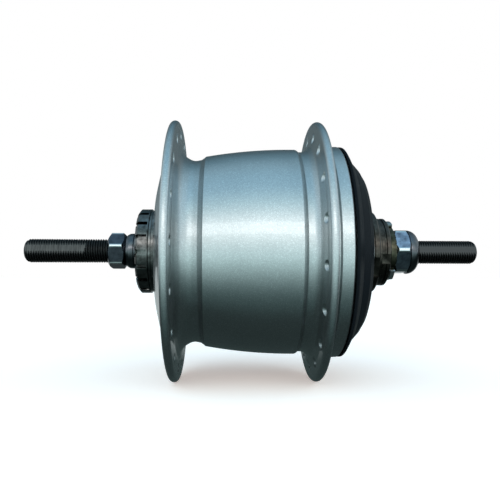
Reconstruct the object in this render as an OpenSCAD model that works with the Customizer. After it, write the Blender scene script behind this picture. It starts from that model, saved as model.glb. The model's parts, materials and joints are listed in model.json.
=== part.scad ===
// Internally geared bicycle hub with a two stage planetary gear train.
// The axle lies along X with the drive side at +X, Z is up, and the origin is
// the middle of the axle. Turned and toothed parts are drawn in a plane whose
// X points along Y and whose Y points up, and are then laid along the axle.

/* [Axle] */
// Whole length of the axle
axle_length = 184; // [180:1:190]
// Outside diameter of the axle thread
axle_d = 9.5; // [9.3:0.1:9.6]
// Width across the flats at the ends of the axle
axle_flats = 8; // [7.6:0.1:8.6]
// Angle of the flats above the level
flat_tilt = 15; // [0:1:45]
// Diameter of the thick middle of the axle, which carries the sun gears
axle_core_d = 12; // [11.8:0.1:12]

/* [Shell] */
// Diameter of the two spoke flanges
flange_d = 104.2; // [103:0.2:106]
// Place of the left flange along the axle
flange_left = -31; // [-32:0.1:-30.5]
// Place of the right flange along the axle
flange_right = 24.25; // [24:0.05:24.5]
// Thickness of a flange at its rounded rim
flange_rim = 3.1; // [2.8:0.1:3.3]
// Diameter of the circle of spoke holes in the left flange
left_spoke_circle_d = 93.4; // [92.6:0.2:94]
// Diameter of the circle of spoke holes in the right flange
right_spoke_circle_d = 92.2; // [91.4:0.2:94]
// Diameter of one spoke hole
spoke_hole_d = 2.9; // [2.6:0.1:3.2]
// Spoke holes in one flange
spokes_per_flange = 18; // [16:2:20]
// Diameter of the barrel at its left step
barrel_left_d = 76.6; // [75:0.2:78]
// Diameter of the barrel at its right step
barrel_right_d = 82.8; // [81:0.2:84]

/* [Brake joint] */
// Diameter over the teeth of the brake joint
brake_d = 34; // [33:0.2:36]
// Teeth of the brake joint
brake_teeth = 18; // [14:1:20]
// Width of a slot between two teeth
brake_slot = 1.5; // [1:0.1:2.5]

/* [Gears] */
// Tooth size as pitch diameter over number of teeth
gear_module = 0.9; // [0.89:0.01:0.9]
// Pressure angle of the teeth
pressure_angle = 25; // [24:0.5:26]
// Play taken off each tooth at the pitch circle
gear_play = 0.1; // [0.1:0.01:0.16]
// Free gap on the radius between a shaft and what turns on it
running_gap = 0.08; // [0.05:0.01:0.1]
// Radius of a planet pin
pin_r = 2; // [1.8:0.1:2.2]

/* [Hidden] */

fine = 96;
medium = 48;
small = 24;
axle_end = axle_length / 2;
axle_r = axle_d / 2;
core_r = axle_core_d / 2;
core_left = -34;
core_right = 35;
// Where the flat of the left axle end stops and the whole round thread begins
left_flat_end = -67.5;

// Tooth counts. Stage A slows the driver down to the carrier through a two step
// planet. Stage B speeds the carrier up to the shell through a three step planet.
sun_a_teeth = 33;
planet_a_small = 11;
planet_a_large = 19;
ring_teeth = 63;
sun_b1_teeth = 21;
sun_b2_teeth = 27;
sun_b3_teeth = 30;
planet_b_large = 24;
planet_b_middle = 18;
planet_b_small = 15;
planet_a_orbit = gear_module * (sun_a_teeth + planet_a_small) / 2;
planet_b_orbit = gear_module * (sun_b3_teeth + planet_b_small) / 2;
addendum = 0.8 * gear_module;
dedendum = 1.1 * gear_module;
ring_outer_r = 32.5;

// Ball rows as [radius of the row, place along the axle, ball radius, balls]
left_row = [7.95, -41.2, 2, 9];
shell_row = [24, 38.2, 2.5, 20];
right_row = [9.75, 48.4, 1.8, 12];

// Pawl geometry: pivot radius, knuckle radius, arm length and thickness
pawl_pivot = 4.9;
pawl_knuckle = 0.9;
pawl_arm = 4;
pawl_thick = 1.3;
pawl_folded = 25;
pawl_raised = 4;
pawl_width = 4;

// ---------------------------------------------------------------- helpers

// Lays a shape drawn about Z along the axle: Z becomes X, X becomes Y, Y becomes Z
module along_axle(x = 0) {
    translate([x, 0, 0]) rotate([90, 0, 90]) children();
}

// Solid of revolution about the axle from [radius, place along the axle] points
module turned(points) {
    along_axle() rotate_extrude($fn = fine) polygon(points);
}

// Plain ring between two places along the axle
module ring(inner, outer, from, to) {
    turned([[inner, from], [outer, from], [outer, to], [inner, to]]);
}

// Solid cylinder along the axle
module rod(r, from, to, sides = medium) {
    along_axle(from) cylinder(r = r, h = to - from, $fn = sides);
}

// Repeats a child round the axle
module around(count, phase = 0) {
    for (i = [0:count - 1]) rotate([phase + 360 * i / count, 0, 0]) children();
}

function polar(r, a) = [r * cos(a), r * sin(a)];

// Points of a round stretch of an outline: centre, radius and two angles
function arc(centre, r, from, to, steps = 6) =
    [for (i = [0:steps]) centre + polar(r, from + (to - from) * i / steps)];

// Involute of an angle, in degrees
function involute(a) = tan(a) * 180 / PI - a;

// Half the angle that a tooth fills at radius r
function half_tooth(teeth, r, play) =
    let (pitch_r = gear_module * teeth / 2,
         base_r = pitch_r * cos(pressure_angle),
         pitch_half = 90 / teeth - play / pitch_r * 90 / PI)
    pitch_half + involute(pressure_angle) - involute(acos(min(1, base_r / r)));

// Outline of all the teeth of a gear between a root and a tip radius
function gear_points(teeth, root, tip, play) =
    let (radii = [root, (root + tip) / 2, tip, tip, (root + tip) / 2, root],
         sides = [-1, -1, -1, 1, 1, 1])
    [for (i = [0:teeth - 1]) for (k = [0:5])
        polar(radii[k], 360 * i / teeth + sides[k] * half_tooth(teeth, radii[k], play))];

// External gear, with a tooth on the local X axis before it is turned by phase
module spur(teeth, from, to, phase = 0) {
    pitch_r = gear_module * teeth / 2;
    along_axle(from) rotate(phase) linear_extrude(to - from)
        polygon(gear_points(teeth, pitch_r - dedendum, pitch_r + addendum, gear_play));
}

// Internal gear teeth as a cutter, with a tooth space on the local X axis
module ring_space(from, to) {
    pitch_r = gear_module * ring_teeth / 2;
    along_axle(from) linear_extrude(to - from)
        polygon(gear_points(ring_teeth, pitch_r - addendum, pitch_r + dedendum, -gear_play));
}

// Turn that puts a tooth of a planet on the side of the sun
function sunward(teeth) = teeth % 2 == 0 ? 0 : 180 / teeth;

// Puts a child on the orbit of a planet
module on_orbit(orbit, turn) {
    rotate([turn, 0, 0]) translate([0, orbit, 0]) children();
}

// Groove that a row of balls runs in
module race(row, gap = 0.06) {
    along_axle(row[1]) rotate_extrude($fn = fine) translate([row[0], 0])
        circle(r = row[2] + gap, $fn = medium);
}

module ball_row(row) {
    around(row[3]) translate([row[1], row[0], 0]) sphere(r = row[2], $fn = small);
}

// Crown shaped ring with an open pocket for every ball
module ball_cage(row, thick) {
    difference() {
        ring(row[0] - thick / 2, row[0] + thick / 2, row[1] - 0.6, row[1] + row[2] + 0.6);
        around(row[3]) translate([row[1], row[0] - thick, 0]) rotate([-90, 0, 0])
            cylinder(r = row[2] + 0.12, h = 2 * thick, $fn = medium);
    }
}

// Wire coil about the axle
module coil(r, wire_r, from, pitch, turns, sides = 8, steps = 20) {
    last = round(turns * steps);
    points = [for (i = [0:last]) for (j = [0:sides - 1])
        let (a = 360 * i / steps, b = 360 * j / sides, reach = r + wire_r * cos(b))
        [reach * cos(a), reach * sin(a), pitch * i / steps + wire_r * sin(b)]];
    walls = [for (i = [0:last - 1]) for (j = [0:sides - 1])
        let (k = (j + 1) % sides)
        [i * sides + j, (i + 1) * sides + j, (i + 1) * sides + k, i * sides + k]];
    start = [for (j = [0:sides - 1]) j];
    end = [for (j = [sides - 1:-1:0]) last * sides + j];
    along_axle(from) polyhedron(points, concat(walls, [start, end]));
}

// ------------------------------------------------------------------ pawls

// Outline of a pawl about its own pivot, raised by an angle from the tangent
module pawl_outline(fold) {
    circle(r = pawl_knuckle, $fn = small);
    rotate(fold) translate([-pawl_thick / 2, 0]) square([pawl_thick, pawl_arm]);
}

// Pawl lying in a pocket of a round body whose pivot circle has radius r
module pawl(r, turn, from, to, fold) {
    rotate([turn, 0, 0]) along_axle(from) translate([r, 0]) linear_extrude(to - from)
        pawl_outline(fold);
}

// Pocket for a pawl, open outward from where the arm lies when it is folded
module pawl_pocket(r, turn, from, to, fold) {
    play = 0.1;
    rotate([turn, 0, 0]) along_axle(from) translate([r, 0]) linear_extrude(to - from)
        union() {
            circle(r = pawl_knuckle + play, $fn = small);
            rotate(fold) translate([-pawl_thick / 2 - play, 0])
                square([5, pawl_arm + play]);
        }
}

// The four sun gears with their pawls: [name index, turn, middle of the gear]
sun_rows = [[0, 0, 18], [1, 90, -24], [2, 180, -7.5], [3, 270, -15.75]];

module sun_pawl(row, fold) {
    x = sun_rows[row][2];
    color("dimgray") pawl(pawl_pivot, sun_rows[row][1], x - pawl_width / 2,
        x + pawl_width / 2, fold);
}

// Bore of a sun gear with eight ratchet notches
module sun_bore(row, from, to) {
    rod(core_r + running_gap, from, to, fine);
    around(8, sun_rows[row][1]) along_axle(from) linear_extrude(to - from)
        polygon([polar(5.5, 12), polar(7.1, 33), polar(7.1, 36.5), polar(6, 43.5),
                 polar(5.5, 46.5)]);
}

// ------------------------------------------------------------- axle parts

module axle() {
    color("dimgray") difference() {
        turned([[0, -axle_end], [axle_r - 1.5, -axle_end], [axle_r, -axle_end + 1.5],
                [axle_r, core_left], [core_r, core_left], [core_r, core_right],
                [axle_r, core_right], [axle_r, axle_end - 1.5], [axle_r - 1.5, axle_end],
                [0, axle_end]]);
        for (span = [[-axle_end - 1, left_flat_end], [63.5, axle_end + 1]])
            for (side = [-1, 1])
                rotate([-flat_tilt, 0, 0])
                    translate([span[0], side == 1 ? axle_flats / 2 : -axle_flats / 2 - 5, -10])
                    cube([span[1] - span[0], 5, 20]);
        for (row = sun_rows)
            pawl_pocket(pawl_pivot, row[1], row[2] - pawl_width / 2 - 0.1,
                row[2] + pawl_width / 2 + 0.1, pawl_folded);
    }
}

module left_lock_nut() {
    nut_r = 7.5;
    color("slategray") difference() {
        intersection() {
            rotate([-16, 0, 0]) along_axle(-58.3) cylinder(r = nut_r, h = 6.9, $fn = 6);
            turned([[0, -59], [4.9, -59], [nut_r + 0.5, -56.5], [nut_r + 0.5, -53.1],
                    [5.9, -51], [0, -51]]);
        }
        rod(axle_r, -60, -50);
    }
}

module left_spacer() {
    color("dimgray") turned([[axle_r, -51.4], [6, -51.4], [7.1, -50], [7.15, -47.2],
        [axle_r, -47.2]]);
}

module left_cone() {
    color("silver") difference() {
        turned([[axle_r, -47.2], [6.9, -47.2], [6.9, -44.8], [6.3, -43.2], [6.3, -37.4],
                [axle_r, -37.4]]);
        race(left_row);
    }
}

module right_cone() {
    color("silver") {
        difference() {
            ring(5.75, 8.35, 42, 53.2);
            race(right_row);
        }
        // Two webs that hold the cone on the axle between the fingers of the shift sleeve
        for (turn = [0, 180])
            intersection() {
                ring(axle_r, 5.75, 42.2, 45.8);
                rotate([turn, 0, 0]) along_axle(42) linear_extrude(5)
                    polygon([[0, 0], polar(9, -15), polar(9, 15)]);
            }
    }
}

module right_lock_nut() {
    nut_r = 9.75;
    color("lightsteelblue") difference() {
        intersection() {
            rotate([-4, 0, 0]) along_axle(56.9) cylinder(r = nut_r, h = 5.9, $fn = 6);
            turned([[0, 56.9], [9.2, 56.9], [9.5, 57.4], [9.5, 62.2], [9.1, 62.8], [0, 62.8]]);
        }
        rod(axle_r, 56, 64);
    }
}

module right_dome_nut() {
    color("darkslategray") difference() {
        turned(concat([[0, 62.8], [9, 62.8]], arc([4.9, 63.1], 4.1, 4, 78), [[0, 67.1]]));
        rod(axle_r, 62, 69);
    }
}

// ------------------------------------------------------------ shell parts

module spoke_holes(x, circle_d, phase) {
    around(spokes_per_flange, phase) translate([0, circle_d / 2, 0])
        rod(spoke_hole_d / 2, x - 4, x + 4, small);
}

// Crowned barrel between its two steps
function barrel_points(left, right, steps = 8) =
    [for (i = [0:steps]) let (s = i / steps)
        [barrel_left_d / 2 + (barrel_right_d - barrel_left_d) / 2 * (1 - (1 - s) * (1 - s)),
         left + (right - left) * s]];

module flange_lip(x) {
    along_axle(x) rotate_extrude($fn = fine) translate([flange_d / 2 - flange_rim / 2, 0])
        circle(r = flange_rim / 2, $fn = small);
}

module shell() {
    half = flange_rim / 2;
    lip_r = flange_d / 2 - half;
    outside = concat(
        [[11.2, -44], [13.2, -44], [13.2, -38.7], [17.6, -38.7], [22, -38.2]],
        [[28, -37.3], [33, -36], [38, -34.4], [43, -33], [46, flange_left - half]],
        [[lip_r, flange_left - half], [lip_r, flange_left + half]],
        arc([41.1, flange_left + half + 4.5], 4.5, -90, -180),
        [[36.4, -22.6], [37, -20.6], [37.6, -19.9]],
        barrel_points(-18.9, 15.2),
        [[41, 16.2], [40.5, 17.4]],
        arc([43.1, flange_right - half - 2.6], 2.6, 180, 90),
        [[lip_r, flange_right - half], [lip_r, flange_right + half]],
        [[45, flange_right + half], [43.2, 26.7], [41.6, 27], [41.6, 27.8]],
        [[42.6, 28.2], [42.6, 32.4], [42, 33]]);
    inside = [[38, 33], [38, 30.5], [36.2, 30.5], [36.2, 15], [35.3, 15], [35.3, -12],
        [33.4, -14.5], [33.4, -31.2], [30.5, -34.2], [12.8, -35.9], [9.6, -35.9],
        [9.6, -36.9], [11.2, -36.9]];
    color("lightsteelblue") difference() {
        union() {
            turned(concat(outside, inside));
            flange_lip(flange_left);
            flange_lip(flange_right);
        }
        spoke_holes(flange_left, left_spoke_circle_d, 18);
        spoke_holes(flange_right, right_spoke_circle_d, 8);
    }
}

module left_cup() {
    color("silver") difference() {
        turned([[8.7, -44], [11.2, -44], [11.2, -37], [8.9, -37], [8.9, -39.6],
                [9.4, -41.2]]);
        race(left_row);
    }
}

module left_seal() {
    color("black") turned([[7.15, -45.2], [12.6, -45.2], [13.2, -44.8], [13.2, -44.1],
        [7.15, -44.1]]);
}

module brake_joint_ring() {
    outer = brake_d / 2;
    color("dimgray") difference() {
        turned([[13.2, -45.6], [outer - 1.3, -46], [outer, -44.9], [outer, -41],
                [outer - 0.5, -40.8], [outer - 0.5, -39.9], [outer + 0.1, -39.7],
                [outer + 0.1, -38.7], [13.2, -38.7]]);
        around(brake_teeth, 3) translate([-47, outer - 1.9, -brake_slot / 2])
            cube([5.6, 4, brake_slot]);
    }
}

module right_cup() {
    color("silver") difference() {
        turned([[24.5, 36], [33.2, 36], [33.2, 30.6], [37.96, 30.6], [37.96, 34.4], [36, 36.4],
                [30, 40.2], [25.6, 40.2], [25.6, 38]]);
        race(shell_row);
    }
}

// Ring inside the shell whose saw teeth the output pawls push
module ratchet_ring() {
    saw = 24;
    color("gray") difference() {
        ring(33, 35.3, -4.4, 2.6);
        along_axle(-5) linear_extrude(8.5)
            polygon([for (i = [0:saw - 1]) for (p = [[33.1, 0], [34.4, 12.6]])
                polar(p[0], 360 * i / saw + p[1] - 8)]);
    }
}

output_pivot = 31.1;
output_engaged = -22;

module ring_gear_b() {
    color("gray") difference() {
        ring(26, ring_outer_r, -4, 6);
        ring_space(-5, 7);
        for (turn = [0, 120, 240]) pawl_pocket(output_pivot, turn, -4.1, 2.2, 5);
        ring(31.8, 33, 2.9, 3.7);
    }
}

module output_pawl(turn) {
    color("dimgray") pawl(output_pivot, turn, -3.9, 2.1, output_engaged);
}

module output_pawl_springs() {
    color("silver") ring(31.8, 32.4, 3, 3.6);
}

module ring_circlip() {
    color("silver") difference() {
        ring(32, 35.3, 6.3, 7.3);
        translate([6, 20, -3]) cube([3, 20, 6]);
    }
}

// --------------------------------------------------------- planet carrier

module carrier_disc(outer, from, to, orbit) {
    difference() {
        ring(core_r + running_gap, outer, from, to);
        for (turn = [0, 120, 240]) on_orbit(orbit, turn) rod(pin_r, from - 1, to + 1);
    }
}

module carrier_left() {
    color("goldenrod") carrier_disc(26.5, -32.4, -29.4, planet_b_orbit);
}

// Middle plate with the posts that hold the two outer plates
module carrier_middle() {
    color("goldenrod") {
        difference() {
            ring(core_r + running_gap, 31.4, 8.2, 12.4);
            for (turn = [0, 120, 240]) {
                on_orbit(planet_b_orbit, turn) rod(pin_r, 8, 10.4);
                on_orbit(planet_a_orbit, turn) rod(pin_r, 10.4, 13);
            }
        }
        for (turn = [60, 180, 300]) {
            on_orbit(22, turn) rod(3.6, -29.4, 8.4);
            on_orbit(22, turn) rod(3.6, 12.2, 29.9);
        }
    }
}

module carrier_right() {
    color("goldenrod") carrier_disc(26.5, 29.9, 32.6, planet_a_orbit);
}

module planet_pins_a() {
    color("silver") for (turn = [0, 120, 240])
        on_orbit(planet_a_orbit, turn) rod(pin_r, 10.4, 32.6);
}

module planet_pins_b() {
    color("silver") for (turn = [0, 120, 240])
        on_orbit(planet_b_orbit, turn) rod(pin_r, -32.4, 10.4);
}

module planet_a(turn) {
    color("silver") on_orbit(planet_a_orbit, turn) difference() {
        union() {
            spur(planet_a_small, 13.2, 21.8, sunward(planet_a_small));
            spur(planet_a_large, 21.8, 29.4);
        }
        rod(pin_r + running_gap, 12, 31);
    }
}

module planet_b(turn) {
    color("silver") on_orbit(planet_b_orbit, turn) difference() {
        union() {
            spur(planet_b_large, -28.4, -20, sunward(planet_b_large));
            spur(planet_b_small, -20, -11.6, sunward(planet_b_small));
            spur(planet_b_middle, -11.6, 7.6, sunward(planet_b_middle));
        }
        rod(pin_r + running_gap, -30, 9);
    }
}

module sun(row, teeth, from, to) {
    color("gray") difference() {
        spur(teeth, from, to, 180 / teeth);
        sun_bore(row, from - 1, to + 1);
    }
}

module sun_a() {
    sun(0, sun_a_teeth, 14, 21.4);
}

module sun_b1() {
    sun(1, sun_b1_teeth, -27.6, -20.6);
}

module sun_b2() {
    sun(2, sun_b2_teeth, -11, -4);
}

module sun_b3() {
    sun(3, sun_b3_teeth, -19.4, -12.2);
}

module sun_washers() {
    color("silver") for (x = [-28.6, -20.3, -11.9, -3.7, 13, 21.8])
        ring(core_r, 8, x, x + 0.6);
}

// Leaf under the arm of each sun pawl
module sun_pawl_springs() {
    color("silver") for (row = sun_rows)
        rotate([row[1], 0, 0]) along_axle(row[2] - 1) translate([pawl_pivot, 0])
            rotate(pawl_folded) translate([-pawl_thick / 2 - 0.1, 1.2])
            linear_extrude(2) square([0.08, 2.4]);
}

// ----------------------------------------------------------- roller clutch

clutch_rollers_count = 9;
clutch_row_r = 33.3;
clutch_roller_r = 1.75;

module clutch_rollers() {
    color("silver") around(clutch_rollers_count)
        translate([0, clutch_row_r, 0]) rod(clutch_roller_r, 8.6, 12, small);
}

module clutch_cage() {
    color("peru") difference() {
        ring(32.3, 34.3, 8.4, 13.6);
        around(clutch_rollers_count) translate([0, clutch_row_r, 0])
            rod(clutch_roller_r + 0.15, 8, 12.2, small);
    }
}

// ------------------------------------------------------------ drive parts

module ring_gear_a() {
    color("gray") difference() {
        ring(26, ring_outer_r, 22.4, 34.2);
        ring_space(21, 30);
        ring(20, 29.6, 29.9, 35);
    }
}

module driver() {
    color("saddlebrown") difference() {
        union() {
            turned([[14, 34.2], [32.5, 34.2], [32.5, 35.2], [23, 35.2], [23, 38.2],
                    [23, 41], [18.4, 42.4], [17.4, 42.6], [17.4, 45], [16.7, 45],
                    [16.7, 48.2], [16.2, 48.6], [14.4, 48.6], [14.4, 49.6], [13.8, 49.8],
                    [13.8, 53.2], [13.4, 53.5], [10.6, 53.5], [10.6, 50.4], [11, 50.4],
                    [11, 46.6], [14, 44.2]]);
        }
        race(shell_row);
        race(right_row);
        for (turn = [0, 120, 240]) {
            // Notches that turn the sprocket, open toward the drive side
            rotate([turn + 180 + 24, 0, 0]) translate([45.6, 14.8, -4.2]) cube([3.2, 4, 8.4]);
            rotate([turn + 180 + 14, 0, 0]) translate([49.8, 12.6, -2]) cube([4, 3, 4]);
        }
    }
}

module dust_cap() {
    color("black") turned([[17.45, 42.7], [31.2, 40.8], [32.6, 40.2], [40.4, 34.7],
        [41.2, 33.4], [42.5, 33.4], [42.4, 34.3], [38.4, 36.7], [34.2, 40.4],
        [31.8, 41.9], [20.4, 44.1], [19.8, 44.9], [17.45, 44.9]]);
}

module dust_cap_circlip() {
    color("silver") difference() {
        ring(16.75, 17.6, 45, 45.6);
        translate([44, -2, -19]) cube([3, 4, 6]);
    }
}

module driver_seal() {
    color("black") ring(8.45, 10.6, 51, 53.4);
}

// ------------------------------------------------------------ shift parts

module shift_sleeve() {
    color("goldenrod") {
        ring(axle_r + 0.1, 5.6, 36, 42);
        ring(axle_r + 0.1, 5.6, 46, 56.7);
        for (turn = [30, 210])
            intersection() {
                ring(axle_r + 0.1, 5.6, 41.9, 46.1);
                rotate([turn, 0, 0]) along_axle(41) linear_extrude(6)
                    polygon([[0, 0], polar(9, -12), polar(9, 12)]);
            }
    }
}

module shift_ring() {
    color("darkkhaki") {
        ring(5.6, 11.5, 53.9, 55.5);
        ring(5.6, 10.2, 55.5, 56.7);
        around(3, 230) intersection() {
            ring(9, 12.8, 53.9, 55.9);
            along_axle(53) linear_extrude(5)
                polygon([[0, 0], polar(20, -12), polar(20, 12)]);
        }
    }
}

module shift_return_spring() {
    color("silver") coil(6.4, 0.4, 37, 1.1, 4);
}

// ------------------------------------------------------------------ nodes

axle();
left_lock_nut();
left_spacer();
left_cone();
color("silver") ball_row(left_row);  // left_balls
color("peru") ball_cage(left_row, 1);  // left_ball_cage
left_cup();
left_seal();
brake_joint_ring();
shell();
right_cup();
ratchet_ring();
ring_gear_b();
output_pawl(0);  // output_pawl_1
output_pawl(120);  // output_pawl_2
output_pawl(240);  // output_pawl_3
output_pawl_springs();
ring_circlip();
carrier_left();
carrier_middle();
carrier_right();
planet_pins_a();
planet_pins_b();
planet_a(0);  // planet_a_1
planet_a(120);  // planet_a_2
planet_a(240);  // planet_a_3
planet_b(0);  // planet_b_1
planet_b(120);  // planet_b_2
planet_b(240);  // planet_b_3
sun_a();
sun_b1();
sun_b2();
sun_b3();
sun_pawl(0, pawl_raised);  // sun_pawl_a
sun_pawl(1, pawl_folded);  // sun_pawl_b1
sun_pawl(2, pawl_folded);  // sun_pawl_b2
sun_pawl(3, pawl_raised);  // sun_pawl_b3
sun_pawl_springs();
sun_washers();
clutch_rollers();
clutch_cage();
ring_gear_a();
driver();
color("silver") ball_row(shell_row);  // shell_balls
color("peru") ball_cage(shell_row, 1.2);  // shell_ball_cage
dust_cap();
dust_cap_circlip();
right_cone();
color("silver") ball_row(right_row);  // right_balls
color("peru") ball_cage(right_row, 0.9);  // right_ball_cage
driver_seal();
shift_ring();
shift_sleeve();
shift_return_spring();
right_lock_nut();
right_dome_nut();
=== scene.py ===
import json
import math

import bmesh
import bpy
from mathutils import Matrix, Vector


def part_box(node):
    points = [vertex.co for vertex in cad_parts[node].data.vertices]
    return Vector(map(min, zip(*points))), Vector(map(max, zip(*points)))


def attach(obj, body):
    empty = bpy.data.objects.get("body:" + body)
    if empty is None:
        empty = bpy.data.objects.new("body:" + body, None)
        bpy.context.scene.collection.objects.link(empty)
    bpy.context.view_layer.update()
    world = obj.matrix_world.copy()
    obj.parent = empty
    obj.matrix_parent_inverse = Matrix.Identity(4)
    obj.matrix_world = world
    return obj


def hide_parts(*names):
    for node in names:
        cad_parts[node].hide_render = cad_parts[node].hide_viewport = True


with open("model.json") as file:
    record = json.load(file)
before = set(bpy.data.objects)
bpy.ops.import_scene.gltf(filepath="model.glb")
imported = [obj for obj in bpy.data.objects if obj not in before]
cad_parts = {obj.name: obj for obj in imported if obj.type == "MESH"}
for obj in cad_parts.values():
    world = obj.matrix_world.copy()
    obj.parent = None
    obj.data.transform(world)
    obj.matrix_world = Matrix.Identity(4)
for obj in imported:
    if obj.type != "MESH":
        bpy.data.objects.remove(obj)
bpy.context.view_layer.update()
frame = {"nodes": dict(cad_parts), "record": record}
NODES = frame["nodes"]
MM = 0.001
AROUND = 216            # points round a turned piece

# Axle, in millimetres: the flats run from LEFT_FLAT_END and RIGHT_FLAT_START to the ends
AXLE_R = 4.75
AXLE_CORE_R = 6.0
CORE_LEFT, CORE_RIGHT = -34.0, 35.0
FLAT_TILT = math.radians(15)
HALF_FLATS = 4.0
LEFT_FLAT_END, RIGHT_FLAT_START = -67.5, 63.5
PITCH = 25.4 / 26
THREAD_DEPTH = 0.56
END_ROUNDING = 2.4
# One pitch of thread as (share of the pitch, share of the depth): crest, flank, root
THREAD_SHAPE = ((0.0, 0.0), (0.12, 0.0), (0.48, 1.0), (0.64, 1.0))


# ---------------------------------------------------------------- outlines

def fillet(points, steps=4):
    """Rounds the corners of an outline. A point is (radius, place) or (radius, place, rounding)."""
    out = []
    count = len(points)
    for i, point in enumerate(points):
        here = Vector(point[:2])
        size = point[2] if len(point) > 2 else 0
        if not size:
            out.append(tuple(here))
            continue
        before = Vector(points[i - 1][:2]) - here
        after = Vector(points[(i + 1) % count][:2]) - here
        half = before.angle(after) / 2
        reach = min(size / math.tan(half), before.length * 0.49, after.length * 0.49)
        size = reach * math.tan(half)
        start = here + before.normalized() * reach
        end = here + after.normalized() * reach
        centre = here + (before.normalized() + after.normalized()).normalized() * (size / math.sin(half))
        first = start - centre
        turn = first.angle_signed(end - centre)
        for k in range(steps + 1):
            a = -turn * k / steps
            out.append((centre.x + first.x * math.cos(a) - first.y * math.sin(a),
                        centre.y + first.x * math.sin(a) + first.y * math.cos(a)))
    return out


def arc(centre, r, start, end, steps=8):
    """Points of a round stretch of an outline, with angles in degrees."""
    return [(centre[0] + r * math.cos(math.radians(start + (end - start) * k / steps)),
             centre[1] + r * math.sin(math.radians(start + (end - start) * k / steps)))
            for k in range(steps + 1)]


# ------------------------------------------------------------------ meshes

def make(name, verts, faces, sharp=35):
    """Object from points in millimetres, joined up, with its faces turned outward."""
    mesh = bpy.data.meshes.new(name)
    mesh.from_pydata([Vector(v) * MM for v in verts], [], faces)
    bm = bmesh.new()
    bm.from_mesh(mesh)
    bmesh.ops.remove_doubles(bm, verts=bm.verts, dist=1e-7)
    bmesh.ops.recalc_face_normals(bm, faces=bm.faces)
    bm.to_mesh(mesh)
    bm.free()
    piece = bpy.data.objects.new(name, mesh)
    bpy.context.scene.collection.objects.link(piece)
    smooth(piece, sharp)
    return piece


def smooth(piece, sharp=35):
    """Smooth shading, with creases where faces meet at more than sharp degrees."""
    piece.data.shade_smooth()
    piece.data.set_sharp_from_angle(angle=math.radians(sharp))


def ring_grid(rows, around, closed_rows):
    """Quads of a grid that closes on itself around the axle."""
    faces = []
    for i in range(rows if closed_rows else rows - 1):
        n = (i + 1) % rows
        for j in range(around):
            k = (j + 1) % around
            faces.append((i * around + j, i * around + k, n * around + k, n * around + j))
    return faces


def turned(name, outline, around=AROUND, sharp=35):
    """Solid of revolution about the axle from a closed outline of (radius, place) points."""
    verts = []
    for r, x in outline:
        for j in range(around):
            a = 2 * math.pi * j / around
            verts.append((x, r * math.cos(a), r * math.sin(a)))
    return make(name, verts, ring_grid(len(outline), around, True), sharp)


def shaped(name, places, angles, radius, inner, sharp=35):
    """Ring whose outside follows radius(x, angle), with a round bore and flat ends."""
    verts = []
    for x in places:
        for a in angles:
            r = radius(x, a)
            verts.append((x, r * math.cos(a), r * math.sin(a)))
    for x in (places[-1], places[0]):
        for a in angles:
            verts.append((x, inner * math.cos(a), inner * math.sin(a)))
    return make(name, verts, ring_grid(len(places) + 2, len(angles), True), sharp)


def apply_modifiers(piece):
    bpy.context.view_layer.objects.active = piece
    for other in bpy.context.selected_objects:
        other.select_set(False)
    piece.select_set(True)
    for modifier in list(piece.modifiers):
        bpy.ops.object.modifier_apply(modifier=modifier.name)


def cut(piece, cutter):
    """Takes the cutter out of the piece and deletes it."""
    modifier = piece.modifiers.new("cut", "BOOLEAN")
    modifier.operation = "DIFFERENCE"
    modifier.solver = "EXACT"
    modifier.object = cutter
    apply_modifiers(piece)
    bpy.data.objects.remove(cutter, do_unlink=True)


def bevel(piece, width, segments=2, angle=40):
    """Rounds the creases that are sharper than angle, by width in millimetres."""
    modifier = piece.modifiers.new("bevel", "BEVEL")
    modifier.width = width * MM
    modifier.segments = segments
    modifier.limit_method = "ANGLE"
    modifier.angle_limit = math.radians(angle)
    modifier.use_clamp_overlap = True
    apply_modifiers(piece)


def spindle_cutter(name, spots, outline, sides=24):
    """Cutters with axes along the axle: outline is (radius, place) from end to end."""
    verts, faces = [], []
    for y, z in spots:
        base = len(verts)
        for r, x in outline:
            for j in range(sides):
                a = 2 * math.pi * j / sides
                verts.append((x, y + r * math.cos(a), z + r * math.sin(a)))
        faces += [tuple(base + v for v in f) for f in ring_grid(len(outline), sides, False)]
        last = base + (len(outline) - 1) * sides
        faces.append(tuple(range(base, base + sides)))
        faces.append(tuple(range(last, last + sides)))
    return make(name, verts, faces)


def box_cutter(name, boxes):
    """Boxes as (low corner, high corner, turn about the axle in degrees)."""
    verts, faces = [], []
    for low, high, turn in boxes:
        base = len(verts)
        spin = Matrix.Rotation(math.radians(turn), 3, "X")
        for x in (low[0], high[0]):
            for y in (low[1], high[1]):
                for z in (low[2], high[2]):
                    verts.append(spin @ Vector((x, y, z)))
        quads = ((0, 1, 3, 2), (4, 5, 7, 6), (0, 1, 5, 4), (2, 3, 7, 6), (0, 2, 6, 4), (1, 3, 7, 5))
        faces += [tuple(base + v for v in q) for q in quads]
    return make(name, verts, faces)


# --------------------------------------------------------------- materials

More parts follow.
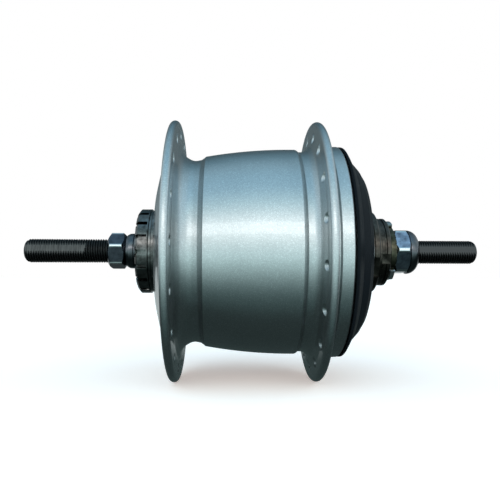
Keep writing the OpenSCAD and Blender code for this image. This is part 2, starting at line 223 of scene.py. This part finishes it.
class Shader:
    """Short way to build a node material."""

    def __init__(self, name):
        self.material = bpy.data.materials.new(name)
        self.material.use_nodes = True
        self.tree = self.material.node_tree
        self.bsdf = self.tree.nodes["Principled BSDF"]

    def node(self, kind, **settings):
        node = self.tree.nodes.new(kind)
        for key, value in settings.items():
            setattr(node, key, value)
        return node

    def link(self, start, end):
        self.tree.links.new(start, end)

    def set(self, **values):
        for key, value in values.items():
            self.bsdf.inputs[key.replace("_", " ")].default_value = value

    def place(self):
        return self.node("ShaderNodeTexCoord").outputs["Object"]

    def stretched(self, scale):
        mapping = self.node("ShaderNodeMapping")
        mapping.inputs["Scale"].default_value = scale
        self.link(self.place(), mapping.inputs["Vector"])
        return mapping.outputs["Vector"]

    def noise(self, scale, detail=3, rough=0.5, vector=None):
        node = self.node("ShaderNodeTexNoise")
        node.inputs["Scale"].default_value = scale
        node.inputs["Detail"].default_value = detail
        node.inputs["Roughness"].default_value = rough
        self.link(vector or self.place(), node.inputs["Vector"])
        return node.outputs["Fac"]

    def ramp(self, source, stops):
        node = self.node("ShaderNodeValToRGB")
        elements = node.color_ramp.elements
        while len(elements) < len(stops):
            elements.new(0.5)
        for element, (place, colour) in zip(elements, stops):
            element.position = place
            element.color = (*colour, 1) if isinstance(colour, tuple) else (colour, colour, colour, 1)
        self.link(source, node.inputs["Fac"])
        return node.outputs["Color"]

    def spread(self, source, low, high, start=0.0, end=1.0):
        node = self.node("ShaderNodeMapRange")
        for socket, value in zip(("From Min", "From Max", "To Min", "To Max"), (start, end, low, high)):
            node.inputs[socket].default_value = value
        self.link(source, node.inputs["Value"])
        return node.outputs["Result"]

    def mix(self, factor, a, b, mode="MIX"):
        node = self.node("ShaderNodeMix", data_type="RGBA", blend_type=mode)
        for socket, value in ((node.inputs[0], factor), (node.inputs[6], a), (node.inputs[7], b)):
            if isinstance(value, (int, float)):
                socket.default_value = value
            elif isinstance(value, tuple):
                socket.default_value = (*value, 1)
            else:
                self.link(value, socket)
        return node.outputs[2]

    def calculate(self, operation, first, second=None):
        node = self.node("ShaderNodeMath", operation=operation)
        self.link(first, node.inputs[0])
        if isinstance(second, (int, float)):
            node.inputs[1].default_value = second
        elif second is not None:
            self.link(second, node.inputs[1])
        return node.outputs[0]

    def bump(self, source, strength, distance=0.0001, after=None):
        node = self.node("ShaderNodeBump")
        node.inputs["Strength"].default_value = strength
        node.inputs["Distance"].default_value = distance
        self.link(source, node.inputs["Height"])
        if after:
            self.link(after, node.inputs["Normal"])
        return node.outputs["Normal"]

    def radius(self):
        """Distance from the axle, in metres."""
        split = self.node("ShaderNodeSeparateXYZ")
        self.link(self.place(), split.inputs[0])
        flat = self.node("ShaderNodeCombineXYZ")
        self.link(split.outputs["Y"], flat.inputs["Y"])
        self.link(split.outputs["Z"], flat.inputs["Z"])
        length = self.node("ShaderNodeVectorMath", operation="LENGTH")
        self.link(flat.outputs[0], length.inputs[0])
        return length.outputs["Value"]

    def turned_marks(self, scale=6000):
        """Fine rings round the axle, as a tool leaves them."""
        return self.noise(1, 4, 0.6, self.stretched((scale, scale * 0.01, scale * 0.01)))


def silver_paint():
    """Metallic paint with fine flakes under a clear coat."""
    s = Shader("silver_paint")
    flake = s.node("ShaderNodeTexVoronoi")
    flake.inputs["Scale"].default_value = 5200
    s.link(s.place(), flake.inputs["Vector"])
    split = s.node("ShaderNodeSeparateColor")
    s.link(flake.outputs["Color"], split.inputs[0])
    cloud = s.noise(60, 2)
    base = s.mix(s.spread(cloud, 0, 1, 0.3, 0.7), (0.36, 0.39, 0.395), (0.4, 0.43, 0.435))
    glint = s.ramp(split.outputs["Red"], [(0.0, 0.84), (0.86, 1.02), (0.95, 1.3)])
    s.link(s.mix(1.0, base, glint, "MULTIPLY"), s.bsdf.inputs["Base Color"])
    s.link(s.spread(split.outputs["Green"], 0.3, 0.42), s.bsdf.inputs["Roughness"])
    s.link(s.bump(split.outputs["Blue"], 0.18, 0.00003), s.bsdf.inputs["Normal"])
    s.set(Metallic=1.0, Coat_Weight=1.0, Coat_Roughness=0.06, Coat_IOR=1.5)
    return s.material


def black_oxide(crest):
    """Blackened steel, rubbed brighter where the thread stands highest and ground lighter on the flats."""
    s = Shader("black_oxide")
    marks = s.noise(2600, 4, 0.6)
    worn = s.spread(s.radius(), 0, 1, (crest - 0.22) * MM, crest * MM)
    base = s.mix(s.spread(marks, 0, 1, 0.35, 0.7), (0.01, 0.011, 0.011), (0.022, 0.023, 0.023))
    base = s.mix(worn, base, (0.036, 0.038, 0.038))
    across = s.node("ShaderNodeVectorMath", operation="DOT_PRODUCT")
    s.link(s.place(), across.inputs[0])
    across.inputs[1].default_value = (0, math.cos(FLAT_TILT), -math.sin(FLAT_TILT))
    split = s.node("ShaderNodeSeparateXYZ")
    s.link(s.place(), split.inputs[0])
    middle, half = (RIGHT_FLAT_START + LEFT_FLAT_END) / 2, (RIGHT_FLAT_START - LEFT_FLAT_END) / 2
    far_out = s.calculate("ABSOLUTE", s.calculate("SUBTRACT", split.outputs["X"], middle * MM))
    flat = s.calculate("MULTIPLY", s.calculate("GREATER_THAN", far_out, half * MM),
                       s.calculate("GREATER_THAN", s.calculate("ABSOLUTE", across.outputs["Value"]),
                                   (HALF_FLATS - 0.02) * MM))
    ground = s.spread(s.noise(1, 3, 0.6, s.stretched((2400, 160, 160))), 0, 1, 0.3, 0.7)
    left = s.calculate("LESS_THAN", split.outputs["X"], 0.0)
    marked = s.mix(ground, (0.026, 0.027, 0.027), (0.075, 0.078, 0.075))
    ground = s.mix(left, (0.044, 0.045, 0.045), marked)
    s.link(s.mix(flat, base, ground), s.bsdf.inputs["Base Color"])
    s.link(s.spread(marks, 0.34, 0.55), s.bsdf.inputs["Roughness"])
    s.link(s.bump(s.noise(5200, 3), 0.25, 0.00004), s.bsdf.inputs["Normal"])
    s.set(Metallic=0.9)
    return s.material


def plated(name, dark, light, rough=(0.2, 0.36), marks=0.15, edge=None):
    """Turned and plated steel with fine rings and a slightly uneven colour. edge gives the radii
    in mm between which the corners of a nut get a painted highlight, a lighter base colour."""
    s = Shader(name)
    rings = s.turned_marks()
    cloud = s.noise(420, 3, 0.6)
    base = s.mix(s.spread(cloud, 0, 1, 0.3, 0.7), dark, light)
    if edge:
        # Painted highlight: between the edge radii the corners of a nut get a light base colour
        base = s.mix(s.spread(s.radius(), 0, 1, edge[0] * MM, edge[1] * MM), base, (0.55, 0.57, 0.57))
    s.link(base, s.bsdf.inputs["Base Color"])
    s.link(s.spread(rings, *rough), s.bsdf.inputs["Roughness"])
    s.link(s.bump(rings, marks, 0.00003), s.bsdf.inputs["Normal"])
    s.set(Metallic=1.0)
    return s.material


def black_cap():
    """Black pressed cap with a little dust and a few light specks."""
    s = Shader("black_cap")
    dust = s.ramp(s.noise(900, 6, 0.7), [(0.62, 0.0), (0.72, 1.0)])
    speck = s.ramp(s.noise(1500, 2, 0.5), [(0.76, 0.0), (0.79, 1.0)])
    base = s.mix(s.spread(dust, 0, 0.12), (0.006, 0.008, 0.01), (0.09, 0.085, 0.08))
    s.link(s.mix(s.spread(speck, 0, 0.35), base, (0.5, 0.55, 0.55)), s.bsdf.inputs["Base Color"])
    s.link(s.spread(s.noise(300, 4), 0.26, 0.4), s.bsdf.inputs["Roughness"])
    s.link(s.bump(s.noise(3800, 4), 0.12, 0.00003), s.bsdf.inputs["Normal"])
    s.set(Specular_IOR_Level=0.015)
    return s.material


def rubber():
    """Dull black rubber of the seals."""
    s = Shader("seal_rubber")
    base = s.mix(s.noise(800, 4), (0.012, 0.012, 0.012), (0.03, 0.03, 0.03))
    s.link(base, s.bsdf.inputs["Base Color"])
    s.link(s.spread(s.noise(1600, 3), 0.55, 0.8), s.bsdf.inputs["Roughness"])
    s.link(s.bump(s.noise(4000, 3), 0.3, 0.00004), s.bsdf.inputs["Normal"])
    return s.material


def cage_plastic():
    """Tan plastic of the ball and roller cages."""
    s = Shader("cage_plastic")
    s.link(s.mix(s.noise(300, 3), (0.3, 0.25, 0.16), (0.4, 0.34, 0.24)), s.bsdf.inputs["Base Color"])
    s.link(s.spread(s.noise(900, 3), 0.4, 0.6), s.bsdf.inputs["Roughness"])
    s.link(s.bump(s.noise(2500, 3), 0.15, 0.00004), s.bsdf.inputs["Normal"])
    return s.material


PAINT = silver_paint()
FINISH = {
    "shell_paint": PAINT,
    "axle_black": black_oxide(4.75),
    "dark_steel": plated("dark_steel", (0.06, 0.065, 0.07), (0.12, 0.125, 0.135), (0.12, 0.24)),
    "brake_ring_steel": plated("brake_ring_steel", (0.04, 0.04, 0.038), (0.16, 0.16, 0.155), (0.1, 0.22)),
    "cap_plastic": black_cap(),
    "driver_steel": plated("driver_steel", (0.025, 0.022, 0.019), (0.075, 0.066, 0.056), (0.25, 0.4)),
    # edge gives the radii of a painted highlight on the corners
    "zinc_plate": plated("zinc_plate", (0.02, 0.02, 0.013), (0.07, 0.068, 0.048), (0.22, 0.36),
                         edge=(11.8, 12.6)),
    "nut_chrome": plated("nut_chrome", (0.12, 0.13, 0.16), (0.34, 0.37, 0.44), (0.06, 0.16), 0.06),
    "bearing_steel": plated("bearing_steel", (0.5, 0.5, 0.51), (0.6, 0.6, 0.61), (0.12, 0.24)),
    "gear_steel": plated("gear_steel", (0.24, 0.24, 0.25), (0.38, 0.38, 0.39), (0.22, 0.4)),
    "carrier_steel": plated("carrier_steel", (0.3, 0.28, 0.25), (0.42, 0.4, 0.36), (0.3, 0.5)),
    "spring_steel": plated("spring_steel", (0.3, 0.3, 0.32), (0.45, 0.45, 0.47), (0.2, 0.35)),
    "cage_plastic": cage_plastic(),
    "seal_rubber": rubber(),
}
SLOT_OF = {row["node"]: row["material_slot"] for row in frame["record"]["subparts"]}


def dress(piece, slot):
    """Gives a piece the finish of a material slot."""
    piece.data.materials.clear()
    piece.data.materials.append(FINISH[slot])


for node, piece in NODES.items():
    for place in range(len(piece.material_slots)):
        piece.material_slots[place].material = FINISH[SLOT_OF[node]]


def stands_for(piece, node, body):
    """Gives a piece the finish of a CAD node, shows it in the node's place and lets it ride."""
    dress(piece, SLOT_OF[node])
    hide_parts(node)
    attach(piece, body)


def node_box(node):
    """The box of a CAD node in millimetres."""
    low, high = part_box(node)
    return Vector(low) / MM, Vector(high) / MM


# ------------------------------------------------------------------- shell

FLANGE_R = node_box("shell")[1].z
FLANGE_LEFT, FLANGE_RIGHT = -31.0, 24.25
RIM = 3.1               # thickness of the flange at its half round rim
# Place of the flange, radius of the hole circle and turn of the first hole in degrees
SPOKE_ROWS = ((FLANGE_LEFT, 46.7, 18), (FLANGE_RIGHT, 46.1, 8))
SPOKES = 18             # on each flange
HOLE_R = 1.45
SINK = 0.55             # how much a hole widens at the face of the flange


def barrel(left, right, r_left, r_right, steps=24):
    """Crowned barrel that swells toward the right."""
    return [(r_left + (r_right - r_left) * (1 - (1 - k / steps) ** 2), left + (right - left) * k / steps)
            for k in range(steps + 1)]


def lip(x, start, end):
    """Half round rim of a flange."""
    half = RIM / 2
    return arc((FLANGE_R - half, x), half, start, end, 14)


def shell():
    """Dished left end, crowned barrel, two flanges with countersunk spoke holes, and the ring for the cap."""
    half = RIM / 2
    x_left, x_right = FLANGE_LEFT, FLANGE_RIGHT
    lip_end = node_box("shell")[1].x
    dish = fillet([(11.2, -44, 0.15), (13.2, -44, 0.15), (13.2, -38.7), (17.6, -38.7, 0.3), (22, -38.2, 8),
                   (28, -37.3, 10), (33, -36, 10), (38, -34.4, 10), (43, -33, 8),
                   (47, x_left - half, 8), (FLANGE_R - half, x_left - half)])[:-1]
    neck_left = fillet([(FLANGE_R - half, x_left + half), (43, x_left + half + 0.1, 4), (38.6, -28.2, 5),
                        (36.3, -24, 5), (36.9, -20.9, 1.5), (37.75, -19.7, 0.35), (38.25, -19.2, 0.3),
                        (38.35, -18.6)], 6)[1:-1]
    step_right = fillet([(41.2, 15), (41.35, 15.6, 0.5), (41.1, 16.3, 0.5), (40.35, 17.2, 0.5),
                         (40.4, 19.6, 3), (42.2, x_right - half - 1.1, 2.5), (46, x_right - half, 4),
                         (FLANGE_R - half, x_right - half)], 6)[1:-1]
    ring_right = fillet([(FLANGE_R - half, x_right + half), (45.6, x_right + half, 2), (43.4, 26.9, 0.8),
                         (41.6, 27.1, 0.3), (41.6, 27.9, 0.25), (42.6, 28.3, 0.35),
                         (42.6, lip_end - 0.6, 0.5), (42, lip_end, 0.2), (38, lip_end, 0.2),
                         (38, 30.5)], 5)[1:-1]
    inside = [(38, 30.5), (36.2, 30.5), (36.2, 15), (35.3, 15), (35.3, -12), (33.4, -14.5),
              (33.4, -31.2), (30.5, -34.2), (12.8, -35.9), (9.6, -35.9), (9.6, -36.9), (11.2, -36.9)]
    outline = (dish + lip(x_left, -90, 90) + neck_left + barrel(-18.6, 15, 38.35, 41.3) + step_right
               + lip(x_right, -90, 90) + ring_right + inside)
    piece = turned("shell_skin", outline, AROUND * 2, 28)
    for x, circle, phase in SPOKE_ROWS:
        spots = [(circle * math.cos(a), circle * math.sin(a)) for a in
                 (math.radians(phase + 360 * k / SPOKES) for k in range(SPOKES))]
        outline = [(HOLE_R + 1.2, x - 2.4), (HOLE_R + SINK, x - half - 0.1), (HOLE_R, x - half + 0.5),
                   (HOLE_R, x + half - 0.5), (HOLE_R + SINK, x + half + 0.1), (HOLE_R + 1.2, x + 2.4)]
        cut(piece, spindle_cutter("spoke_cutter", spots, outline, 32))
    smooth(piece, 28)
    stands_for(piece, "shell", "hub")


shell()


# -------------------------------------------------------------------- axle

AXLE_END = node_box("axle")[1].x


def on_flats(x, y, z):
    """Presses a point of the axle onto the flats at its ends."""
    if LEFT_FLAT_END < x < RIGHT_FLAT_START:
        return (x, y, z)
    across = y * math.cos(FLAT_TILT) - z * math.sin(FLAT_TILT)
    along = y * math.sin(FLAT_TILT) + z * math.cos(FLAT_TILT)
    across = max(-HALF_FLATS, min(HALF_FLATS, across))
    return (x, across * math.cos(FLAT_TILT) + along * math.sin(FLAT_TILT),
            along * math.cos(FLAT_TILT) - across * math.sin(FLAT_TILT))


def end_shape(x):
    """Radius that the rounded ends of the axle allow."""
    inside = AXLE_END - abs(x)
    if inside >= END_ROUNDING:
        return AXLE_R
    return AXLE_R - END_ROUNDING + math.sqrt(max(0, END_ROUNDING ** 2 - (END_ROUNDING - inside) ** 2))


def axle():
    """Threaded axle with a thick middle, flats and rounded ends, as one closed skin."""
    around = 72
    lead = len(THREAD_SHAPE)
    places = []
    x = -AXLE_END
    while x < AXLE_END:
        for share, depth in THREAD_SHAPE:
            places.append((x + share * PITCH, depth))
        x += PITCH
    verts = []
    for place, depth in places:
        for j in range(around):
            turn = j / around
            x = max(-AXLE_END, min(AXLE_END, place + turn * PITCH - PITCH / 2))
            plain = CORE_LEFT - 1 < x < CORE_RIGHT + 1
            if CORE_LEFT < x < CORE_RIGHT:
                r = AXLE_CORE_R
            else:
                r = min(AXLE_R - (0 if plain else depth * THREAD_DEPTH), end_shape(x))
            a = 2 * math.pi * turn
            verts.append(on_flats(x, r * math.cos(a), r * math.sin(a)))
    rows = len(places)
    faces = []
    for i in range(rows - 1):
        for j in range(around - 1):
            low, high = i * around + j, (i + 1) * around + j
            faces.append((low, low + 1, high + 1, high))
        # The thread climbs one pitch in a turn, so the last column meets the next turn of the first
        if i + lead + 1 < rows:
            n = (i + lead) * around
            faces.append((i * around + around - 1, n, n + around, (i + 1) * around + around - 1))
    faces.append([j for j in range(around)] + [i * around for i in range(lead, 0, -1)])
    last = (rows - 1) * around
    faces.append([last + j for j in range(around - 1, -1, -1)]
                 + [i * around + around - 1 for i in range(rows - lead - 1, rows - 1)])
    piece = make("axle_skin", verts, faces, 30)
    stands_for(piece, "axle", "root")


axle()


# -------------------------------------------------------------- nuts, left

def hex_radius(angle, apothem, phase):
    """Distance to the side of a hexagon at an angle."""
    sixth = math.pi / 3
    a = (angle - phase) % sixth - sixth / 2
    return apothem / math.cos(a)


def hex_nut(node, apothem, phase, chamfer, corner, metal):
    """Hexagon nut with a cone chamfer at both ends. apothem is half the width across the flats,
    corner is where the corners are turned off, and chamfer is (radius at the end face, slope)."""
    low, high = node_box(node)
    start, end = low.x, high.x
    phase = math.radians(phase)
    end_r, slope = chamfer

    def radius(x, a):
        face = hex_radius(a, apothem, phase)
        inset = min(x - start, end - x)
        return min(face, corner, end_r + inset * slope)

    steps, around = 7, AROUND * 2
    bend = (corner - end_r) / slope
    edge = [start + bend * k / steps for k in range(steps + 1)]
    places = edge + [start + (end - start) / 2] + [start + end - x for x in reversed(edge)]
    angles = [2 * math.pi * k / around for k in range(around)]
    piece = shaped(node + "_body", places, angles, radius, AXLE_R, 26)
    stands_for(piece, node, "root")
    piece.data.materials[0] = metal


# The last pair of the finish is the radii of a painted highlight on the nut corners
hex_nut("left_lock_nut", 6.5, -16, (5.9, 1.35), 7.4,
        plated("dark_nut", (0.04, 0.045, 0.055), (0.09, 0.1, 0.12), (0.1, 0.2), 0.06, (7.12, 7.3)))


def left_spacer():
    """Round spacer with a bevelled left end and a shallow groove."""
    low, high = node_box("left_spacer")
    outline = fillet([(AXLE_R, low.x, 0.1), (5.95, low.x, 0.2), (6.5, low.x + 0.5, 0.4),
                      (7.02, low.x + 1.5, 0.5), (7.1, low.x + 2.2), (7.1, low.x + 3.3, 0.15),
                      (6.85, low.x + 3.5, 0.1),
                      (7.1, low.x + 3.75, 0.15), (7.15, high.x, 0.15), (AXLE_R, high.x, 0.1)])
    piece = turned("left_spacer_body", outline, AROUND, 28)
    stands_for(piece, "left_spacer", "root")


left_spacer()


def brake_joint_ring():
    """Toothed ring: square slots that are deeper at their mouths, rounded tooth edges and a stepped base."""
    low, high = node_box("brake_joint_ring")
    start, end = low.x, high.x
    teeth, first_tooth, slot_half = 18, 3, 0.8
    floor_r, tip, slot_end = 15.1, 17.0, -41.4
    mouth, mouth_r = 1.1, 14.2
    outline = fillet([(13.2, start + 0.4, 0.1), (15.6, start, 0.35), (tip, start + 1.1, 0.35),
                      (tip, -41, 0.2), (16.5, -40.8, 0.15), (16.5, -39.95, 0.15), (17.1, -39.7, 0.15),
                      (17.1, end, 0.1), (13.2, end)])
    piece = turned("brake_joint_teeth", outline, AROUND, 28)
    for name, bottom, until in (("slot_cutter", floor_r, slot_end), ("mouth_cutter", mouth_r, start + mouth)):
        boxes = [((start - 1, bottom, -slot_half), (until, tip + 1, slot_half), first_tooth + 360 * k / teeth)
                 for k in range(teeth)]
        cut(piece, box_cutter(name, boxes))
    bevel(piece, 0.13, 2, 50)
    smooth(piece, 30)
    stands_for(piece, "brake_joint_ring", "hub")


brake_joint_ring()


# ------------------------------------------------------------- right side

def dust_cap():
    """Pressed black cap with a wide bevel, fine ridges and a rolled inner rim."""
    low, high = node_box("dust_cap")
    rim, end = low.x, high.x
    outline = fillet([(17.45, rim + 9.3), (31.2, rim + 7.4), (32.6, rim + 6.8), (40.4, rim + 1.3),
                      (41.2, rim, 0.1), (42.5, rim, 0.2), (42.45, rim + 0.9, 0.5), (40.9, rim + 1.85, 0.3),
                      (40.6, rim + 1.95, 0.2), (38.4, rim + 3.25, 0.6), (37.9, rim + 3.45, 0.3),
                      (34.3, rim + 6.8, 0.5), (33.6, rim + 7.2, 0.3), (31.8, rim + 8.45, 0.8),
                      (26, rim + 9.6, 0.3), (25.6, rim + 9.45, 0.2), (25.2, rim + 9.75, 0.3),
                      (20.5, rim + 10.65, 0.4), (19.8, end, 0.25), (17.45, end, 0.2)])
    piece = turned("dust_cap_body", outline, AROUND * 2, 24)
    stands_for(piece, "dust_cap", "drive")


dust_cap()


def driver():
    """Stepped driver that the sprocket slides on, with its notches for three lugs."""
    low, high = node_box("driver")
    end = high.x
    outline = fillet([(14, low.x), (32.5, low.x), (32.5, low.x + 1), (23, low.x + 1), (23, 41), (18.4, 42.4),
                      (17.4, 42.6), (17.4, end - 8.5), (16.7, end - 8.5, 0.1), (16.7, end - 7.7, 0.1),
                      (16.3, end - 7.55, 0.1), (16.3, end - 7.2, 0.1), (16.7, end - 7.05, 0.1),
                      (16.7, end - 5.5, 0.25), (16.2, end - 4.95, 0.2), (14.4, end - 4.9, 0.2),
                      (14.4, end - 3.9, 0.2), (13.8, end - 3.65, 0.15), (13.8, end - 2.5, 0.1),
                      (13.3, end - 2.35, 0.1), (13.3, end - 1.75, 0.1), (13.8, end - 1.6, 0.1),
                      (13.8, end - 0.4, 0.2), (13.3, end, 0.2), (10.6, end, 0.1), (10.6, 50.4), (11, 50.4),
                      (11, 46.6), (14, 44.2)])
    piece = turned("driver_body", outline, AROUND * 2, 28)
    lug_turn, end_notch_turn = 204, 194
    boxes = []
    for turn in (0, 120, 240):
        boxes.append(((end - 7.9, 14.8, -4.2), (end - 4.7, 18.8, 4.2), turn + lug_turn))
        boxes.append(((end - 3.7, 12.6, -2), (end + 0.3, 15.6, 2), turn + end_notch_turn))
    cut(piece, box_cutter("notch_cutter", boxes))
    bevel(piece, 0.1, 2, 50)
    smooth(piece, 30)
    stands_for(piece, "driver", "drive")


driver()


def shift_ring():
    """Thin plated ring with three lugs and a row of small folded teeth."""
    low, high = node_box("shift_ring")
    start, end = low.x, high.x
    around = AROUND * 2
    angles = [2 * math.pi * k / around for k in range(around)]
    lug_turn, lug_half, folded_teeth = 230, 12, 24
    plate, edge_round = 1.8, 0.15

    def radius(x, a):
        off_lug = (math.degrees(a) - lug_turn + 60) % 120 - 60
        if x <= start + plate + 0.1:
            return 12.75 if abs(off_lug) < lug_half else 11.5
        return 10.2 - 0.35 * (math.cos(folded_teeth * a) > 0.3)

    places = [start, start + edge_round, start + plate - edge_round, start + plate,
              start + plate + edge_round, end - edge_round, end]

    def soft(x, a):
        edge = min(x - start, end - x)
        return radius(x, a) - max(0, edge_round - edge)

    piece = shaped("shift_ring_body", places, angles, soft, 5.6, 30)
    stands_for(piece, "shift_ring", "shifter")


shift_ring()
# The last pair of the finish is the radii of a painted highlight on the nut corners
hex_nut("right_lock_nut", 8.44, -4, (8.6, 1.0), 9.5,
        plated("bright_nut", (0.12, 0.13, 0.16), (0.34, 0.37, 0.44), (0.06, 0.16), 0.06, (9.2, 9.4)))


def right_dome_nut():
    """Nut with a round dome toward the axle end."""
    low, high = node_box("right_dome_nut")
    outline = ([(AXLE_R, low.x), (8.85, low.x), (9, low.x + 0.15), (9, low.x + 0.5)]
               + arc((4.9, low.x + 0.3), 4.1, 8, 76, 14)
               + [(5.5, high.x), (AXLE_R + 0.15, high.x), (AXLE_R, high.x - 0.2)])
    piece = turned("right_dome_nut_body", outline, AROUND, 30)
    stands_for(piece, "right_dome_nut", "root")


right_dome_nut()


# ------------------------------------------------------------ camera, stage

# Where the viewer stands, in millimetres, and how far it tips up, leans and turns, in degrees
VIEWER_PLACE = (-9.9, -228.8, -9.6)
VIEWER_TURN = (90 + 2.56, -0.15, -2.14)
LENS_TO_WIDTH = 1.1164  # focal length over the width of the picture

camera = bpy.data.cameras.new("camera")
camera.sensor_width = 36
camera.lens = LENS_TO_WIDTH * camera.sensor_width
camera.clip_start = 0.01
viewer = bpy.data.objects.new("camera", camera)
bpy.context.scene.collection.objects.link(viewer)
viewer.location = Vector(VIEWER_PLACE) * MM
viewer.rotation_euler = [math.radians(turn) for turn in VIEWER_TURN]
bpy.context.scene.camera = viewer


# What the floor gives off for the camera, so that it runs into the white behind it
FLOOR_GLOW = (0.19, 0.165, 0.155)


def floor():
    """Wide pale floor. Reflections see a darker ground instead, which brightens toward the front."""
    level, reach = -FLANGE_R, 6000
    behind, in_front = 0.24, -0.34
    corners = [(x, y, level) for x, y in ((-reach, -reach), (reach, -reach), (reach, reach), (-reach, reach))]
    piece = make("floor", corners, [(0, 1, 2, 3)])
    s = Shader("pale_floor")
    split = s.node("ShaderNodeSeparateXYZ")
    s.link(s.place(), split.inputs[0])
    ahead = s.spread(split.outputs["Y"], 0, 1, behind, in_front)
    pale = s.mix(s.noise(8, 4), (0.96, 0.9, 0.86), (0.97, 0.91, 0.87))
    ground = s.ramp(ahead, [(0.0, (0.25, 0.28, 0.28)), (0.24, (0.11, 0.13, 0.13)),
                            (0.33, (0.02, 0.03, 0.03)), (0.48, (0.02, 0.03, 0.03)),
                            (0.51, (0.035, 0.06, 0.06)), (0.55, (0.07, 0.11, 0.11)),
                            (0.62, (0.24, 0.33, 0.33)), (0.89, (0.57, 0.78, 0.78)),
                            (1.0, (0.62, 0.82, 0.84))])
    path = s.node("ShaderNodeLightPath")
    mirrored = path.outputs["Is Glossy Ray"]
    glow = s.mix(path.outputs["Is Camera Ray"], (0.0, 0.0, 0.0), FLOOR_GLOW)
    s.link(s.mix(mirrored, pale, (0.0, 0.0, 0.0)), s.bsdf.inputs["Base Color"])
    s.link(s.mix(mirrored, glow, ground), s.bsdf.inputs["Emission Color"])
    s.set(Roughness=0.9, Specular_IOR_Level=0.0, Emission_Strength=2.0)
    piece.data.materials.append(s.material)


floor()


def softbox(name, place, target, size, power):
    """Area light that the camera does not see."""
    light = bpy.data.lights.new(name, "AREA")
    light.shape = "RECTANGLE"
    light.size, light.size_y = size
    light.energy = power
    lamp = bpy.data.objects.new(name, light)
    bpy.context.scene.collection.objects.link(lamp)
    lamp.location = place
    lamp.rotation_euler = (Vector(target) - Vector(place)).to_track_quat("-Z", "Y").to_euler()
    lamp.visible_camera = False


softbox("key", (-0.1, -1.2, 0.5), (0, 0, 0), (1.6, 0.3), 2.5)

# Brightness and colour of the studio round the long axis of the object, by angle: 0 is
# toward the front, 90 is straight up and 180 is behind
SURROUND = ((-180, (0.16, 0.2, 0.21)), (-150, (0.14, 0.17, 0.18)), (-100, (0.1, 0.1, 0.1)),
            (-40, (0.3, 0.33, 0.33)), (-20, (0.8, 0.9, 0.9)), (-6, (1.2, 1.4, 1.42)),
            (5, (1.4, 1.7, 1.74)), (22, (1.9, 1.95, 1.95)), (50, (0.93, 1.36, 1.5)),
            (70, (0.54, 0.92, 1.2)), (90, (0.5, 0.84, 1.07)), (105, (0.43, 0.68, 0.84)),
            (125, (0.13, 0.26, 0.34)), (142, (0.06, 0.1, 0.12)), (158, (0.06, 0.09, 0.1)),
            (180, (0.16, 0.2, 0.21)))
SURROUND_PEAK = 2.0                 # strength of the world, so that no colour in it is over 1
SIDE_TONE = (0.6, 0.7, 0.74)        # what the ends of the axle point at, before the strength
BACKDROP = (0.5, 0.5, 0.5)          # what the camera sees, before the strength


def studio():
    """Soft light from all round, plain white where the camera sees it directly."""
    world = bpy.data.worlds.new("studio")
    world.use_nodes = True
    tree = world.node_tree
    nodes, links = tree.nodes, tree.links

    def math_node(operation, *values):
        node = nodes.new("ShaderNodeMath")
        node.operation = operation
        for socket, value in zip(node.inputs, values):
            if isinstance(value, float):
                socket.default_value = value
            else:
                links.new(value, socket)
        return node.outputs[0]

    def mix(factor, first, second):
        node = nodes.new("ShaderNodeMix")
        node.data_type = "RGBA"
        for socket, value in ((node.inputs[0], factor), (node.inputs[6], first), (node.inputs[7], second)):
            if isinstance(value, tuple):
                socket.default_value = (*value, 1)
            else:
                links.new(value, socket)
        return node.outputs[2]

    coordinates = nodes.new("ShaderNodeTexCoord")
    split = nodes.new("ShaderNodeSeparateXYZ")
    links.new(coordinates.outputs["Generated"], split.inputs[0])
    forward = math_node("MULTIPLY", split.outputs["Y"], -1.0)
    turn = math_node("ARCTAN2", split.outputs["Z"], forward)
    share = math_node("MULTIPLY_ADD", turn, 1 / (2 * math.pi), 0.5)
    around = nodes.new("ShaderNodeValToRGB")
    while len(around.color_ramp.elements) < len(SURROUND):
        around.color_ramp.elements.new(0.5)
    for element, (angle, colour) in zip(around.color_ramp.elements, SURROUND):
        element.position = (angle + 180) / 360
        element.color = (*(c / SURROUND_PEAK for c in colour), 1)
    links.new(share, around.inputs["Fac"])
    sideways = math_node("POWER", math_node("ABSOLUTE", split.outputs["X"]), 3.0)
    surround = mix(sideways, around.outputs["Color"], SIDE_TONE)
    seen = nodes.new("ShaderNodeLightPath").outputs["Is Camera Ray"]
    background = nodes["Background"]
    links.new(mix(seen, surround, BACKDROP), background.inputs["Color"])
    background.inputs["Strength"].default_value = SURROUND_PEAK
    bpy.context.scene.world = world


studio()
bpy.context.scene.view_settings.view_transform = "Standard"
